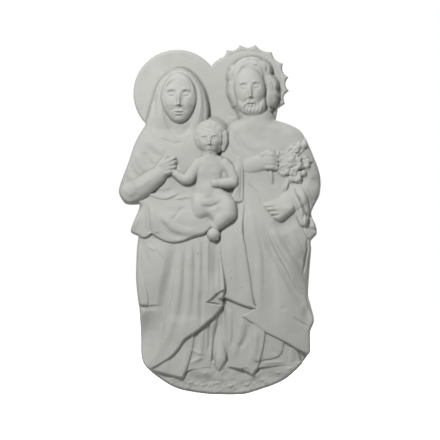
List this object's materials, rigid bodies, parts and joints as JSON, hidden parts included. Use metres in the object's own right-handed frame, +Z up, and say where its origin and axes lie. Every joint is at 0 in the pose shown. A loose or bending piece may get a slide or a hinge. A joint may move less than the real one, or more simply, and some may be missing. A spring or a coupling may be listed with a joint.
{
  "type": "holy family wall relief",
  "caption": "Cast plaster wall relief of a veiled woman, a bearded man with flowers and a child between them, with nimbus discs and a flat back.",
  "frame": {"origin": "centre of the flat back face, half way up and half way across", "axes": "+Z up the relief, +Y out of its back towards the wall, so the figures face -Y"},
  "size_m": [0.1727, 0.0362, 0.2996],
  "materials": {
    "plaster": "bare cast plaster, matt, pale grey-white"
  },
  "bodies": {
    "root": {"holy_family_relief": "plaster"}
  },
  "joints": []
}
